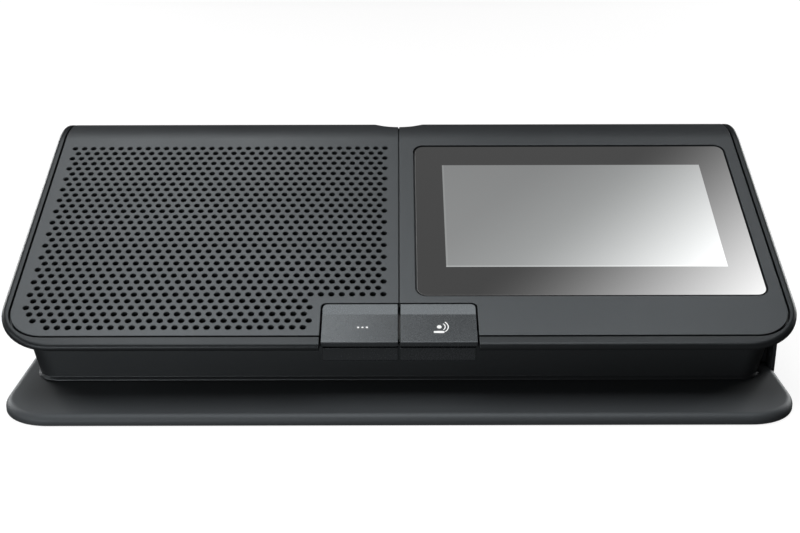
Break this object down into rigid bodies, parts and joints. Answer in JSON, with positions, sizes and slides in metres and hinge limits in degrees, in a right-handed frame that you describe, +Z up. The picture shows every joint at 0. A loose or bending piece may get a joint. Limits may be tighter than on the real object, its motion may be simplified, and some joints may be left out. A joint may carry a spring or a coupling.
{
  "type": "conference delegate unit",
  "caption": "Sloped tabletop delegate unit: perforated loudspeaker plate at left, recessed touch display at right, two front keys, wide flat base and a microphone socket in the rear ridge",
  "frame": {"origin": "on the table under the middle of the unit", "axes": "+X to the right as the user sees it, +Y away from the user, +Z up"},
  "size_m": [0.2572, 0.1446, 0.0702],
  "materials": {
    "base_plastic": "fine matt grain, near black",
    "shell_plastic": "fine matt grain, near black",
    "frame_plastic": "satin dark graphite",
    "grille_plate": "satin dark graphite paint on perforated sheet",
    "bezel_plate": "satin dark graphite",
    "acoustic_cloth": "black acoustic cloth",
    "touch_glass": "dark glossy cover glass",
    "display_panel": "grey display, off",
    "key_left_plastic": "satin dark graphite",
    "key_right_plastic": "satin dark graphite",
    "ribbed_panel": "black, ribbed at its front end",
    "pod_plastic": "black",
    "button_plastic": "dark grey",
    "rubber": "black rubber",
    "foam": "closed-cell foam",
    "basket_steel": "grey paint on pressed steel",
    "zinc_steel": "zinc plated",
    "bracket_steel": "bare sheet",
    "ferrite": "dark sintered ferrite",
    "cone_paper": "black pressed paper",
    "spider_cloth": "resin-treated cloth",
    "coil_copper": "enamelled copper wire",
    "circuit_board": "green circuit board",
    "switch_plastic": "black moulded housing",
    "socket_plastic": "black moulded socket",
    "contact_insert": "dark moulded insert",
    "ribbon_film": "amber flexible film",
    "lead_jacket": "black lead jacket"
  },
  "bodies": {
    "unit": {"base_plate": "base_plastic", "rubber_foot_front_left": "rubber", "rubber_foot_front_right": "rubber", "rubber_foot_rear_left": "rubber", "rubber_foot_rear_right": "rubber", "speaker_surround": "rubber", "body_shell": "shell_plastic", "top_frame": "frame_plastic", "grille_plate": "grille_plate", "bezel_plate": "bezel_plate", "acoustic_cloth": "acoustic_cloth", "touch_glass": "touch_glass", "lcd_panel": "display_panel", "lcd_bracket": "bracket_steel", "base_screw_1": "zinc_steel", "base_screw_2": "zinc_steel", "base_screw_3": "zinc_steel", "base_screw_4": "zinc_steel", "frame_screw_1": "zinc_steel", "frame_screw_2": "zinc_steel", "frame_screw_3": "zinc_steel", "frame_screw_4": "zinc_steel", "bracket_screw_1": "zinc_steel", "bracket_screw_2": "zinc_steel", "bracket_screw_3": "zinc_steel", "bracket_screw_4": "zinc_steel", "speaker_screw_1": "zinc_steel", "speaker_screw_2": "zinc_steel", "speaker_screw_3": "zinc_steel", "speaker_screw_4": "zinc_steel", "speaker_top_plate": "zinc_steel", "speaker_yoke": "zinc_steel", "key_board": "circuit_board", "main_board": "circuit_board", "side_board": "circuit_board", "key_switch_left": "switch_plastic", "key_switch_right": "switch_plastic", "volume_switch_up": "switch_plastic", "volume_switch_down": "switch_plastic", "key_ribbon": "ribbon_film", "display_ribbon": "ribbon_film", "speaker_gasket": "foam", "speaker_basket": "basket_steel", "speaker_spider": "spider_cloth", "speaker_magnet": "ferrite", "speaker_lead": "lead_jacket", "mic_lead": "lead_jacket", "chain_jack_in": "socket_plastic", "chain_jack_out": "socket_plastic", "mic_well_cup": "socket_plastic", "headphone_jack": "socket_plastic", "mic_socket_insert": "contact_insert", "side_pod": "pod_plastic", "side_panel": "ribbed_panel"},
    "left_key": {"key_left": "key_left_plastic"},
    "right_key": {"key_right": "key_right_plastic"},
    "volume_up_button": {"volume_up": "button_plastic"},
    "volume_down_button": {"volume_down": "button_plastic"},
    "cone": {"speaker_cone": "cone_paper", "voice_coil": "coil_copper"}
  },
  "joints": [
    {"name": "left_key_press", "type": "slide", "parent": "unit", "child": "left_key", "axis": [0, 0.4115, -0.9114], "range_m": [0, 0.0005], "stiffness_N_per_m": 2000},
    {"name": "right_key_press", "type": "slide", "parent": "unit", "child": "right_key", "axis": [0, 0.4115, -0.9114], "range_m": [0, 0.0005], "stiffness_N_per_m": 2000},
    {"name": "volume_up_press", "type": "slide", "parent": "unit", "child": "volume_up_button", "axis": [-1, 0, 0], "range_m": [0, 0.0006], "stiffness_N_per_m": 1500},
    {"name": "volume_down_press", "type": "slide", "parent": "unit", "child": "volume_down_button", "axis": [-1, 0, 0], "range_m": [0, 0.0006], "stiffness_N_per_m": 1500},
    {"name": "cone_travel", "type": "slide", "parent": "unit", "child": "cone", "axis": [0, -0.4115, 0.9114], "range_m": [-0.001, 0.001], "stiffness_N_per_m": 1500, "deforming": ["speaker_surround", "speaker_spider"]}
  ]
}
